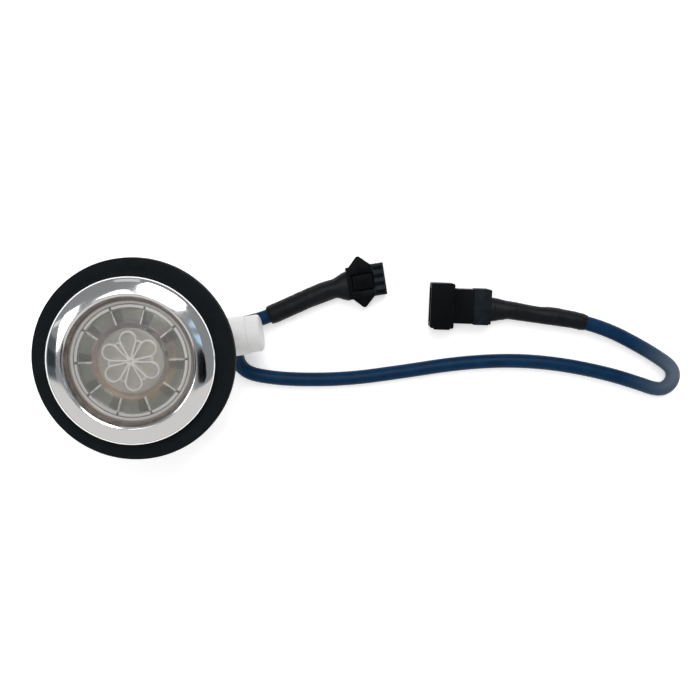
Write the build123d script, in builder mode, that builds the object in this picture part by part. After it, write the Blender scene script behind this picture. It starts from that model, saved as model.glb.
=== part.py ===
from build123d import *
import math
import os

# Through-wall underwater pool light with two leads, in millimetres, +Z up. It stands face up
# on the flat rear face of its rear cap. The origin is the centre of that face, the light's
# axis is +Z, and the two leads lie on the plane z = 0.

os.makedirs("parts", exist_ok=True)

# ------------------------------------------------------------------ driving sizes
GASKET_R = 28.8  # the soft face gasket is the widest ring
GASKET_BOTTOM = 34.0
GASKET_TOP = 38.0
FLANGE_R = 22.6
FLANGE_TOP = 40.5
MOUTH_R = 17.7  # the housing's mouth, which takes the lens and its seal
SEAT_Z = 38.6
CAVITY_R = 15.6
SHANK_R = 19.0  # plain shank that fills the hole in the wall
SHANK_BOTTOM = 31.0
GASKET_BORE_R = SHANK_R + 0.1
FLOOR_TOP = 22.0
FLOOR_BOTTOM = 20.0
BARREL_BOTTOM = 20.1
TAIL_R = 16.0
TAIL_BORE_R = 10.5
CAP_THICKNESS = 2.5

THREAD_PITCH = 2.0
THREAD_ROOT_R = 18.0
THREAD_CREST_R = SHANK_R
THREAD_START = 21.0
THREAD_HEIGHT = 9.0

NUT_R = 26.0
NUT_BOTTOM = 21.0
NUT_HEIGHT = 6.0
NUT_BORE_R = 19.3
WASHER_R = 25.5
WASHER_THICKNESS = 1.0

BEZEL_R = 23.75
BEZEL_BOTTOM = 38.3
BEZEL_WIDEST_Z = 41.0
BEZEL_CREST_R = 18.9
BEZEL_CREST_Z = 43.2
BEZEL_OPENING_R = 17.5
BEZEL_WALL = 1.1

LENS_R = 16.9
LENS_BOTTOM = SEAT_Z
LENS_TOP = 40.2
SEGMENT_COUNT = 10
SEGMENT_INNER_R = 10.8
SEGMENT_OUTER_R = 14.5
SEGMENT_GAP = 1.3
SEGMENT_ANGLE = 2.0
PETAL_COUNT = 6
PETAL_ANGLE = 36.0
ROSETTE_R = 9.1
PETAL_TIP_R = 8.0

SPREADER_R = 14.6
SPREADER_BOTTOM = 26.8
SPREADER_THICKNESS = 2.0
BOARD_R = 10.0
BOARD_THICKNESS = 1.0
BOARD_SCREW_COUNT = 3
BOARD_SCREW_PCR = 12.6
REFLECTOR_TOP = 36.6
REFLECTOR_RIM_R = 10.8
WIRE_HOLE_R = 1.7

CAP_SCREW_COUNT = 4
CAP_SCREW_PCR = 13.8
SCREW_HEAD_R = 1.9
SCREW_SHANK_R = 0.8

BOOT_ANGLE = 9.0  # azimuth of the cable boot
BOOT_Z = 14.0
BOOT_FACE = 17.4  # distance from the light's axis to the boot's mounting face
BOOT_SHOULDER = 30.4
BOOT_END = 34.6
BOOT_COLLAR_R = 6.0
BOOT_BORE_R = 4.2
BOOT_CAP_R = 5.65

CABLE_R = 2.25
SLEEVE_GAP = 0.05
LONG_SLEEVE_R = 2.5
SHORT_SLEEVE_R = 2.9
SLEEVE_BULGE_R = 3.05
SLEEVE_FLARE_R = 3.3
CORE_R = 0.5
CONTACT_PITCH = 2.5
CONTACT_COUNT = 4

AXIS_Z = 3.3  # height of both connectors' axes above the ground plane
PLUG_HEADING = 9.0
SOCKET_HEADING = 178.0

BOARD_TOP = SPREADER_BOTTOM + SPREADER_THICKNESS + BOARD_THICKNESS
SPREADER_TOP = SPREADER_BOTTOM + SPREADER_THICKNESS


# ------------------------------------------------------------------ helpers
def finish(part, name):
    """Label a finished piece and write its STEP file."""
    part.label = name
    export_step(part, f"parts/{name}.step")


def along(start, direction, distance):
    """Point at a distance from start along a unit direction."""
    return tuple(s + d * distance for s, d in zip(start, direction))


def boot_point(out, side, z):
    """Point given by its distance out along the boot, its sideways offset and its height."""
    angle = math.radians(BOOT_ANGLE)
    x = out * math.cos(angle) - side * math.sin(angle)
    y = out * math.sin(angle) + side * math.cos(angle)
    return (x, y, z)


def boot_direction(out, side, up):
    """Unit direction given in the boot's own axes."""
    length = math.sqrt(out**2 + side**2 + up**2)
    return boot_point(out / length, side / length, up / length)


def boot_plane(distance):
    """Plane across the boot; its X is sideways, its Y is up, and it faces outwards."""
    return Plane(
        origin=boot_point(distance, 0, BOOT_Z),
        x_dir=boot_point(0, 1, 0),
        z_dir=boot_point(1, 0, 0),
    )


def bend_radii(points):
    """Largest arc that fits each corner: 0.45 of the shorter run over tan(half turn)."""
    radii = []
    for before, corner, after in zip(points, points[1:], points[2:]):
        run_in = Vector(*corner) - Vector(*before)
        run_out = Vector(*after) - Vector(*corner)
        half_turn = math.radians(run_in.get_angle(run_out)) / 2
        radii.append(0.45 * min(run_in.length, run_out.length) / math.tan(half_turn))
    return radii


def midpoint(a, b):
    return tuple((p + q) / 2 for p, q in zip(a, b))


def start_plane(points, distance=0.0):
    """Plane across the first run of a route, a distance along it."""
    run = (Vector(*points[1]) - Vector(*points[0])).normalized()
    return Plane(origin=Vector(*points[0]) + run * distance, z_dir=run)


# ------------------------------------------------------------------ cable routes
LONG_EXIT_AXIS = boot_direction(-0.2, -0.6, -0.775)
LONG_EXIT_ORIGIN = boot_point(26.5, 0, BOOT_Z)
SHORT_EXIT_AXIS = boot_direction(0.5, 0.2, -0.84)
SHORT_EXIT_ORIGIN = boot_point(18.5, 0, BOOT_Z)
CABLE_START = 5.4  # distance from the boot's axis to the cut end of each cable

GROUND_Z = 2.3  # height of a cable's axis where it lies on the ground plane

LONG_ROUTE = [
    along(LONG_EXIT_ORIGIN, LONG_EXIT_AXIS, CABLE_START),
    along(LONG_EXIT_ORIGIN, LONG_EXIT_AXIS, CABLE_START + 4.6),
    (25.9, -6.4, 3.2),
    (28.6, -8.9, GROUND_Z),
    (33.5, -10.1, GROUND_Z),
    (43.0, -11.1, GROUND_Z),
    (60.0, -10.95, GROUND_Z),
    (78.0, -8.5, GROUND_Z),
    (95.5, -5.75, GROUND_Z),
    (112.0, -4.75, GROUND_Z),
    (127.0, -5.8, GROUND_Z),
    (142.0, -8.7, GROUND_Z),
    (152.5, -11.8, GROUND_Z),
    (160.0, -14.5, GROUND_Z),
    (163.4, -13.3, GROUND_Z),
    (165.0, -10.4, GROUND_Z),
    (164.3, -7.15, GROUND_Z),
    (160.3, -4.15, GROUND_Z),
    (153.0, 0.2, GROUND_Z),
    (143.3, 5.1, AXIS_Z),
    (132.0, 8.5, AXIS_Z),
    (121.0, 10.0, AXIS_Z),
    (114.0, 11.3, AXIS_Z),
    (105.5, 11.6, AXIS_Z),
]
LONG_SLEEVE_CORNERS = 3  # corners of the route that lie inside the sleeve

SHORT_ROUTE = [
    along(SHORT_EXIT_ORIGIN, SHORT_EXIT_AXIS, CABLE_START),
    along(SHORT_EXIT_ORIGIN, SHORT_EXIT_AXIS, CABLE_START + 5.2),
    (28.9, 7.6, 3.5),
    (32.8, 8.5, AXIS_Z),
    (38.4, 10.8, AXIS_Z),
    (48.4, 15.35, AXIS_Z),
    (54.95, 18.1, AXIS_Z),
    (60.5, 18.98, AXIS_Z),
]
SHORT_SLEEVE_CORNERS = 3


# ------------------------------------------------------------------ threads
def thread_ridge(root_r, crest_r, start_z, height, path_r):
    """Helical trapezoid ridge; its root side reaches past the wall that it grows from."""
    root_half, crest_half = 0.86, 0.3
    with BuildPart() as ridge:
        with BuildLine():
            path = Helix(pitch=THREAD_PITCH, height=height, radius=path_r, center=(0, 0, start_z))
        with BuildSketch(Plane.XZ):
            with BuildLine():
                Polyline(
                    (root_r, start_z - root_half),
                    (crest_r, start_z - crest_half),
                    (crest_r, start_z + crest_half),
                    (root_r, start_z + root_half),
                    close=True,
                )
            make_face()
        sweep(path=path, is_frenet=True)
    return ridge.part


# ------------------------------------------------------------------ housing
barrel_thread = thread_ridge(
    THREAD_ROOT_R - 0.4, THREAD_CREST_R, THREAD_START, THREAD_HEIGHT, THREAD_ROOT_R
)

with BuildPart() as housing_body:
    with BuildSketch(Plane.XZ):
        with BuildLine():
            Polyline(
                (TAIL_BORE_R, CAP_THICKNESS),
                (TAIL_R, CAP_THICKNESS),
                (TAIL_R, BARREL_BOTTOM),
                (THREAD_ROOT_R, BARREL_BOTTOM),
                (THREAD_ROOT_R, SHANK_BOTTOM),
                (SHANK_R, SHANK_BOTTOM),
                (SHANK_R, GASKET_TOP),
                (FLANGE_R, GASKET_TOP),
                (FLANGE_R, FLANGE_TOP),
                (MOUTH_R, FLANGE_TOP),
                (MOUTH_R, SEAT_Z),
                (CAVITY_R, SEAT_Z),
                (CAVITY_R, FLOOR_TOP),
                (2.8, FLOOR_TOP),
                (2.8, FLOOR_BOTTOM),
                (TAIL_BORE_R, FLOOR_BOTTOM),
                close=True,
            )
        make_face()
    revolve(axis=Axis.Z)
    # flat pad for the cable boot
    with BuildSketch(boot_plane(12.0)):
        RectangleRounded(15.0, 12.4, 1.5)
    extrude(amount=BOOT_FACE - 12.0)
    with Locations((0, 0, FLOOR_BOTTOM - 9.0)):
        Cylinder(TAIL_BORE_R, 16.0, mode=Mode.SUBTRACT)
    # port for the boot's spigot, and the recess of its seal
    with BuildSketch(boot_plane(6.0)):
        Circle(BOOT_BORE_R + 0.1)
    extrude(amount=BOOT_FACE - 6.0, mode=Mode.SUBTRACT)
    with BuildSketch(boot_plane(BOOT_FACE)):
        Circle(5.4)
    extrude(amount=-1.0, mode=Mode.SUBTRACT)
    # recess of the rear cap's seal
    with BuildSketch(Plane.XY.offset(CAP_THICKNESS)):
        Circle(12.0)
    extrude(amount=0.8, mode=Mode.SUBTRACT)
    # pillars and pilot holes of the board screws
    with BuildSketch(Plane.XY.offset(FLOOR_TOP)):
        with PolarLocations(BOARD_SCREW_PCR, BOARD_SCREW_COUNT, start_angle=30):
            Circle(2.2)
    extrude(amount=SPREADER_BOTTOM - FLOOR_TOP)
    with BuildSketch(Plane.XY.offset(SPREADER_BOTTOM)):
        with PolarLocations(BOARD_SCREW_PCR, BOARD_SCREW_COUNT, start_angle=30):
            Circle(SCREW_SHANK_R + 0.05)
    extrude(amount=-4.2, mode=Mode.SUBTRACT)
    # pilot holes of the cap screws
    with BuildSketch(Plane.XY.offset(CAP_THICKNESS)):
        with PolarLocations(CAP_SCREW_PCR, CAP_SCREW_COUNT, start_angle=54):
            Circle(SCREW_SHANK_R + 0.05)
    extrude(amount=7.0, mode=Mode.SUBTRACT)
    add(barrel_thread)
finish(housing_body.part, "housing_body")


# ------------------------------------------------------------------ face gasket
with BuildPart() as face_gasket:
    with BuildSketch(Plane.XY.offset(GASKET_BOTTOM)):
        Circle(GASKET_R)
        Circle(GASKET_BORE_R, mode=Mode.SUBTRACT)
    extrude(amount=GASKET_TOP - GASKET_BOTTOM)
    fillet(face_gasket.edges().filter_by(GeomType.CIRCLE).group_by(SortBy.RADIUS)[-1], radius=0.9)
finish(face_gasket.part, "face_gasket")


# ------------------------------------------------------------------ bezel
with BuildPart() as bezel_ring:
    with BuildSketch(Plane.XZ):
        with BuildLine():
            skirt = ThreePointArc(
                (BEZEL_R - 0.5, BEZEL_BOTTOM), (BEZEL_R - 0.1, 39.6), (BEZEL_R, BEZEL_WIDEST_Z)
            )
            dome = EllipticalCenterArc(
                (BEZEL_CREST_R, BEZEL_WIDEST_Z),
                BEZEL_R - BEZEL_CREST_R,
                BEZEL_CREST_Z - BEZEL_WIDEST_Z,
                arc_size=90,
            )
            lip = ThreePointArc(dome @ 1, (BEZEL_CREST_R - 0.5, 43.05), (BEZEL_CREST_R - 0.8, 42.6))
            Polyline(
                lip @ 1,
                (BEZEL_OPENING_R, 41.2),
                (BEZEL_OPENING_R, FLANGE_TOP),
                (BEZEL_OPENING_R + 1.1, FLANGE_TOP),
                (BEZEL_OPENING_R + 1.1, 41.2),
                (BEZEL_CREST_R, BEZEL_CREST_Z - BEZEL_WALL),
            )
            inside = EllipticalCenterArc(
                (BEZEL_CREST_R, FLANGE_TOP),
                BEZEL_R - BEZEL_WALL - BEZEL_CREST_R,
                BEZEL_CREST_Z - BEZEL_WALL - FLANGE_TOP,
                arc_size=90,
            )
            Polyline(
                inside @ 0, (BEZEL_R - BEZEL_WALL, BEZEL_BOTTOM), (BEZEL_R - 0.5, BEZEL_BOTTOM)
            )
        make_face()
    revolve(axis=Axis.Z)
finish(bezel_ring.part, "bezel_ring")


# ------------------------------------------------------------------ lens and its seal
with BuildPart() as lens_seal:
    with BuildSketch(Plane.XY.offset(SEAT_Z)):
        Circle(MOUTH_R - 0.05)
        Circle(LENS_R + 0.05, mode=Mode.SUBTRACT)
    extrude(amount=LENS_TOP + 0.1 - SEAT_Z)
finish(lens_seal.part, "lens_seal")

with BuildPart() as lens:
    with BuildSketch(Plane.XY.offset(LENS_BOTTOM)):
        Circle(LENS_R)
    extrude(amount=LENS_TOP - LENS_BOTTOM)
    # raised rim
    with BuildSketch(Plane.XY.offset(LENS_TOP)):
        Circle(LENS_R)
        Circle(LENS_R - 0.8, mode=Mode.SUBTRACT)
    extrude(amount=0.3)
    # castellated ring of ten prisms
    with BuildSketch(Plane.XY.offset(LENS_TOP)):
        Circle(SEGMENT_OUTER_R)
        Circle(SEGMENT_INNER_R, mode=Mode.SUBTRACT)
        with PolarLocations(0, SEGMENT_COUNT, start_angle=SEGMENT_ANGLE):
            with Locations((SEGMENT_OUTER_R - 2, 0)):
                Rectangle(6.0, SEGMENT_GAP, mode=Mode.SUBTRACT)
    extrude(amount=0.5)
    # rosette disc with six petals and six slim rays between them
    with BuildSketch(Plane.XY.offset(LENS_TOP)):
        Circle(ROSETTE_R)
    extrude(amount=0.3)
    for petal in range(PETAL_COUNT):
        turn = PETAL_ANGLE + petal * 360 / PETAL_COUNT
        with BuildSketch(Plane(origin=(0, 0, LENS_TOP + 0.3)).rotated((0, 0, turn))):
            with Locations((PETAL_TIP_R - 2.4, 0)):
                Circle(2.4)
            with Locations((1.1, 0)):
                Circle(0.3)
            make_hull()
        extrude(amount=0.35)
        with BuildSketch(Plane(origin=(0, 0, LENS_TOP + 0.3)).rotated((0, 0, turn + 30))):
            with Locations((6.7, 0)):
                SlotOverall(3.2, 0.8)
        extrude(amount=0.2)
finish(lens.part, "lens")


# ------------------------------------------------------------------ lamp inside the cavity
with BuildPart() as lamp_reflector:
    with BuildSketch(Plane.XZ):
        with BuildLine():
            Polyline(
                (9.2, BOARD_TOP),
                (9.85, BOARD_TOP),
                (REFLECTOR_RIM_R + 0.6, REFLECTOR_TOP - 0.6),
                (CAVITY_R - 0.1, REFLECTOR_TOP - 0.6),
                (CAVITY_R - 0.1, REFLECTOR_TOP),
                (REFLECTOR_RIM_R, REFLECTOR_TOP),
                close=True,
            )
        make_face()
    revolve(axis=Axis.Z)
finish(lamp_reflector.part, "lamp_reflector")

with BuildPart() as heat_spreader:
    with BuildSketch(Plane.XY.offset(SPREADER_BOTTOM)):
        Circle(SPREADER_R)
        Circle(WIRE_HOLE_R, mode=Mode.SUBTRACT)
        with PolarLocations(BOARD_SCREW_PCR, BOARD_SCREW_COUNT, start_angle=30):
            Circle(SCREW_SHANK_R + 0.25, mode=Mode.SUBTRACT)
    extrude(amount=SPREADER_THICKNESS)
finish(heat_spreader.part, "heat_spreader")

with BuildPart() as led_board:
    with BuildSketch(Plane.XY.offset(SPREADER_TOP)):
        Circle(BOARD_R)
        Circle(WIRE_HOLE_R, mode=Mode.SUBTRACT)
    extrude(amount=BOARD_THICKNESS)
finish(led_board.part, "led_board")

with BuildPart() as led_chips:
    with BuildSketch(Plane.XY.offset(BOARD_TOP)):
        with PolarLocations(5.6, PETAL_COUNT, start_angle=PETAL_ANGLE):
            Rectangle(3.5, 2.8)
    extrude(amount=1.4)
    chamfer(led_chips.faces().group_by(Axis.Z)[-1].edges(), length=0.2)
finish(led_chips.part, "led_chips")

with BuildPart() as board_resistors:
    with BuildSketch(Plane.XY.offset(BOARD_TOP)):
        with PolarLocations(8.2, PETAL_COUNT, start_angle=PETAL_ANGLE + 30):
            Rectangle(0.8, 1.6)
    extrude(amount=0.5)
finish(board_resistors.part, "board_resistors")

with BuildPart() as board_screws:
    with BuildSketch(Plane.XY.offset(SPREADER_TOP)):
        with PolarLocations(BOARD_SCREW_PCR, BOARD_SCREW_COUNT, start_angle=30):
            Circle(SCREW_HEAD_R)
    extrude(amount=1.2)
    fillet(board_screws.faces().group_by(Axis.Z)[-1].edges(), radius=0.5)
    with BuildSketch(Plane.XY.offset(SPREADER_TOP)):
        with PolarLocations(BOARD_SCREW_PCR, BOARD_SCREW_COUNT, start_angle=30):
            Circle(SCREW_SHANK_R)
    extrude(amount=-5.8)
    with BuildSketch(Plane.XY.offset(SPREADER_TOP + 1.2)):
        with PolarLocations(BOARD_SCREW_PCR, BOARD_SCREW_COUNT, start_angle=30):
            Rectangle(2.0, 0.45)
            Rectangle(0.45, 2.0)
    extrude(amount=-0.6, mode=Mode.SUBTRACT)
finish(board_screws.part, "board_screws")


# ------------------------------------------------------------------ wires and potting
CORE_OFFSET = 0.6
WIRE_BEND_R = 3.0

with BuildPart() as board_wires:
    with BuildLine():
        wire_path = FilletPolyline(
            (0, 0, BOARD_TOP), (0, 0, BOOT_Z), boot_point(18.4, 0, BOOT_Z), radius=WIRE_BEND_R
        )
    with BuildSketch(Plane.XY.offset(BOARD_TOP)):
        with GridLocations(2 * CORE_OFFSET, 2 * CORE_OFFSET, 2, 2):
            Circle(CORE_R)
    sweep(path=wire_path)
finish(board_wires.part, "board_wires")

with BuildPart() as tail_potting:
    with BuildSketch(Plane.XY.offset(4.7)):
        Circle(TAIL_BORE_R - 0.1)
    extrude(amount=FLOOR_BOTTOM - 0.2 - 4.7)
    with BuildSketch(Plane.XY.offset(FLOOR_BOTTOM)):
        Circle(2.4)
    extrude(amount=BOOT_Z - FLOOR_BOTTOM, mode=Mode.SUBTRACT)
    with BuildSketch(boot_plane(0)):
        Circle(2.4)
    extrude(amount=TAIL_R, mode=Mode.SUBTRACT)
finish(tail_potting.part, "tail_potting")

with BuildPart() as boot_potting:
    with BuildSketch(boot_plane(BOOT_FACE + 1.1)):
        Circle(BOOT_BORE_R - 0.1)
    extrude(amount=2.0)
finish(boot_potting.part, "boot_potting")


# ------------------------------------------------------------------ rear cap
with BuildPart() as rear_cap:
    with BuildSketch():
        Circle(TAIL_R)
    extrude(amount=CAP_THICKNESS)
    chamfer(rear_cap.faces().sort_by(Axis.Z)[0].edges(), length=0.4)
    with BuildSketch(Plane.XY.offset(CAP_THICKNESS)):
        Circle(TAIL_BORE_R - 0.1)
        Circle(TAIL_BORE_R - 2.1, mode=Mode.SUBTRACT)
    extrude(amount=2.0)
    with BuildSketch():
        with PolarLocations(CAP_SCREW_PCR, CAP_SCREW_COUNT, start_angle=54):
            Circle(SCREW_SHANK_R + 0.25)
    extrude(amount=CAP_THICKNESS, mode=Mode.SUBTRACT)
    with BuildSketch():
        with PolarLocations(CAP_SCREW_PCR, CAP_SCREW_COUNT, start_angle=54):
            Circle(SCREW_HEAD_R)
    extrude(amount=1.4, mode=Mode.SUBTRACT)
finish(rear_cap.part, "rear_cap")

with BuildPart() as rear_cap_seal:
    with BuildSketch(Plane.XY.offset(CAP_THICKNESS)):
        Circle(11.95)
        Circle(TAIL_BORE_R + 0.05, mode=Mode.SUBTRACT)
    extrude(amount=0.8)
finish(rear_cap_seal.part, "rear_cap_seal")

with BuildPart() as rear_cap_screws:
    with BuildSketch(Plane.XY.offset(1.4)):
        with PolarLocations(CAP_SCREW_PCR, CAP_SCREW_COUNT, start_angle=54):
            Circle(SCREW_HEAD_R - 0.1)
    extrude(amount=-1.1)
    with BuildSketch(Plane.XY.offset(1.4)):
        with PolarLocations(CAP_SCREW_PCR, CAP_SCREW_COUNT, start_angle=54):
            Circle(SCREW_SHANK_R)
    extrude(amount=7.6)
    with BuildSketch(Plane.XY.offset(0.3)):
        with PolarLocations(CAP_SCREW_PCR, CAP_SCREW_COUNT, start_angle=54):
            Rectangle(2.0, 0.45)
            Rectangle(0.45, 2.0)
    extrude(amount=0.6, mode=Mode.SUBTRACT)
finish(rear_cap_screws.part, "rear_cap_screws")


# ------------------------------------------------------------------ lock nut and washer
nut_thread = thread_ridge(
    NUT_BORE_R + 0.4, THREAD_ROOT_R + 0.2, THREAD_START + THREAD_PITCH / 2, 4.0, NUT_BORE_R
)

with BuildPart() as lock_nut:
    with BuildSketch(Plane.XY.offset(NUT_BOTTOM)):
        Circle(NUT_R)
        Circle(NUT_BORE_R, mode=Mode.SUBTRACT)
        with PolarLocations(NUT_R + 1.6, 12):
            Circle(3.2, mode=Mode.SUBTRACT)
    extrude(amount=NUT_HEIGHT - 1.4)
    with BuildSketch(Plane.XY.offset(NUT_BOTTOM + NUT_HEIGHT - 1.4)):
        Circle(NUT_R)
        Circle(NUT_BORE_R, mode=Mode.SUBTRACT)
    extrude(amount=1.4)
    chamfer(lock_nut.faces().sort_by(Axis.Z)[0].outer_wire().edges(), length=0.5)
    add(nut_thread)
finish(lock_nut.part, "lock_nut")

with BuildPart() as nut_washer:
    with BuildSketch(Plane.XY.offset(NUT_BOTTOM + NUT_HEIGHT)):
        Circle(WASHER_R)
        Circle(NUT_BORE_R, mode=Mode.SUBTRACT)
    extrude(amount=WASHER_THICKNESS)
finish(nut_washer.part, "nut_washer")


# ------------------------------------------------------------------ cable boot
EXIT_HOLE_R = 2.75
EXITS = {
    "long_lead": (LONG_EXIT_ORIGIN, LONG_EXIT_AXIS),
    "short_lead": (SHORT_EXIT_ORIGIN, SHORT_EXIT_AXIS),
}

with BuildPart() as boot_body:
    with BuildSketch(boot_plane(BOOT_FACE)):
        Circle(BOOT_COLLAR_R)
    extrude(amount=BOOT_SHOULDER - BOOT_FACE)
    fillet(boot_body.edges().sort_by(Axis.X)[-1], radius=0.6)
    with BuildSketch(boot_plane(BOOT_FACE)):
        Circle(BOOT_BORE_R)
    extrude(amount=-5.8)
    with BuildSketch(boot_plane(BOOT_FACE + 1.0)):
        Circle(BOOT_BORE_R)
    extrude(amount=BOOT_SHOULDER - BOOT_FACE - 1.0, mode=Mode.SUBTRACT)
    with BuildSketch(boot_plane(BOOT_FACE + 1.0)):
        Circle(2.6)
    extrude(amount=-6.8, mode=Mode.SUBTRACT)
    for origin, axis in EXITS.values():
        with BuildSketch(Plane(origin=along(origin, axis, 4.0), z_dir=axis)):
            Circle(EXIT_HOLE_R)
        extrude(amount=5.0, mode=Mode.SUBTRACT)
finish(boot_body.part, "boot_body")

with BuildPart() as boot_seal:
    with BuildSketch(boot_plane(BOOT_FACE)):
        Circle(5.35)
        Circle(BOOT_BORE_R + 0.05, mode=Mode.SUBTRACT)
    extrude(amount=-1.0)
finish(boot_seal.part, "boot_seal")

with BuildPart() as boot_cap:
    with BuildSketch(boot_plane(BOOT_SHOULDER)):
        Circle(BOOT_CAP_R)
    extrude(amount=BOOT_END - BOOT_SHOULDER)
    fillet(boot_cap.edges().sort_by(Axis.X)[-1], radius=1.2)
    with BuildSketch(boot_plane(BOOT_SHOULDER)):
        Circle(BOOT_BORE_R - 0.05)
    extrude(amount=-1.4)
finish(boot_cap.part, "boot_cap")

for lead, (origin, axis) in EXITS.items():
    with BuildPart() as grommet:
        with BuildSketch(Plane(origin=along(origin, axis, 5.9), z_dir=axis)):
            Circle(EXIT_HOLE_R - 0.05)
            Circle(CABLE_R + 0.05, mode=Mode.SUBTRACT)
        extrude(amount=1.3)
    finish(grommet.part, f"{lead}_grommet")


# ------------------------------------------------------------------ leads
def build_lead(name, route):
    """Round cable along straight runs joined by tangent arcs."""
    radii = bend_radii(route)
    with BuildPart() as cable:
        with BuildLine():
            path = FilletPolyline(*route, radius=radii)
        with BuildSketch(start_plane(route)):
            Circle(CABLE_R)
        sweep(path=path)
    expected = math.pi * CABLE_R**2 * path.length
    print(f"{name}: length {path.length:.1f}, volume {cable.part.volume:.1f} of {expected:.1f}")
    print("  bend radii", [round(radius, 1) for radius in radii])
    finish(cable.part, name)


def build_sleeve(name, route, corners, outer_r):
    """Heat-shrink sleeve over the last corners of a route, flared at the connector."""
    radii = bend_radii(route)[-corners:]
    points = [midpoint(route[-corners - 2], route[-corners - 1]), *route[-corners - 1:]]
    backwards = [points[-1], points[-2]]
    with BuildPart() as sleeve:
        with BuildLine():
            path = FilletPolyline(*points, radius=radii)
        with BuildSketch(start_plane(points)):
            Circle(outer_r)
        sweep(path=path)
        # thicker where two layers of sleeve overlap
        with BuildSketch(start_plane(points, 1.0)):
            Circle(SLEEVE_BULGE_R)
        extrude(amount=4.2, taper=1.5)
        # flare against the connector
        with BuildSketch(start_plane(backwards)):
            Circle(SLEEVE_FLARE_R)
        extrude(amount=3.4, taper=11)
        with BuildSketch(start_plane(points)):
            Circle(CABLE_R + SLEEVE_GAP)
        sweep(path=path, mode=Mode.SUBTRACT)
    finish(sleeve.part, name)


build_lead("long_lead", LONG_ROUTE)
build_lead("short_lead", SHORT_ROUTE)
build_sleeve("long_lead_sleeve", LONG_ROUTE, LONG_SLEEVE_CORNERS, LONG_SLEEVE_R)
build_sleeve("short_lead_sleeve", SHORT_ROUTE, SHORT_SLEEVE_CORNERS, SHORT_SLEEVE_R)


# ------------------------------------------------------------------ plug connector
def heading_plane(point, heading, sideways=0.0, height=0.0):
    """Horizontal plane at a connector's rear face; its X points to the mating end."""
    angle = math.radians(heading)
    x = point[0] - sideways * math.sin(angle)
    y = point[1] + sideways * math.cos(angle)
    return Plane(origin=(x, y, height), x_dir=(math.cos(angle), math.sin(angle), 0), z_dir=(0, 0, 1))


def plug_plane(height):
    return heading_plane(SHORT_ROUTE[-1], PLUG_HEADING, 0.7, height)


def socket_plane(height):
    return heading_plane(LONG_ROUTE[-1], SOCKET_HEADING, -0.8, height)


PLUG_LENGTH = 11.9
NOSE_START = 7.4
NOSE_BOTTOM = 1.2
NOSE_TOP = 5.4

with BuildPart() as plug_housing:
    # rear block
    with BuildSketch(plug_plane(0.3)):
        with Locations((1.9, 0)):
            Rectangle(3.8, 10.0)
    extrude(amount=6.0)
    # guard wings
    with BuildSketch(plug_plane(0)):
        with BuildLine():
            Polyline(
                (1.0, 5.0), (3.9, 8.0), (4.7, 8.0), (7.9, 5.0),
                (7.9, -5.0), (4.7, -8.0), (3.9, -8.0), (1.0, -5.0),
                close=True,
            )
        make_face()
    extrude(amount=NOSE_TOP)
    # nose with four ribs
    with BuildSketch(plug_plane(NOSE_BOTTOM)):
        with Locations(((NOSE_START + PLUG_LENGTH) / 2, 0)):
            Rectangle(PLUG_LENGTH - NOSE_START, 10.0)
    extrude(amount=NOSE_TOP - NOSE_BOTTOM)
    with BuildSketch(plug_plane(NOSE_TOP)):
        with Locations((9.9, 0)):
            with GridLocations(1, CONTACT_PITCH, 1, CONTACT_COUNT):
                Rectangle(3.0, 1.1)
    extrude(amount=0.35)
    # well under the latch
    with BuildSketch(plug_plane(4.2)):
        with Locations((4.9, 0)):
            Rectangle(7.0, 5.2)
    extrude(amount=3.0, mode=Mode.SUBTRACT)
    # contact cavities
    with BuildSketch(plug_plane(2.0)):
        with Locations((PLUG_LENGTH - 5.0, 0)):
            with GridLocations(1, CONTACT_PITCH, 1, CONTACT_COUNT):
                Rectangle(10.0, 1.5)
    extrude(amount=1.5, mode=Mode.SUBTRACT)
finish(plug_housing.part, "plug_housing")

with BuildPart() as plug_contacts:
    with BuildSketch(plug_plane(2.1)):
        with Locations((7.1, 0)):
            with GridLocations(1, CONTACT_PITCH, 1, CONTACT_COUNT):
                Rectangle(8.0, 1.3)
    extrude(amount=1.3)
finish(plug_contacts.part, "plug_contacts")

with BuildPart() as plug_latch:
    with BuildSketch(plug_plane(5.3)):
        with Locations((4.75, 0)):
            Rectangle(6.3, 4.6)
    extrude(amount=0.9)
    with BuildSketch(plug_plane(6.2)):
        with Locations((2.3, 0)):
            Rectangle(1.0, 4.6)
    extrude(amount=0.4)
    with BuildSketch(plug_plane(4.9)):
        with Locations((7.3, 0)):
            Rectangle(1.2, 3.0)
    extrude(amount=0.4)
finish(plug_latch.part, "plug_latch")


# ------------------------------------------------------------------ socket connector
SOCKET_LENGTH = 19.1
BAND_END = 5.4
SHROUD_START = 11.7
MOUTH_START = 10.9
PIN_END = 14.7

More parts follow.
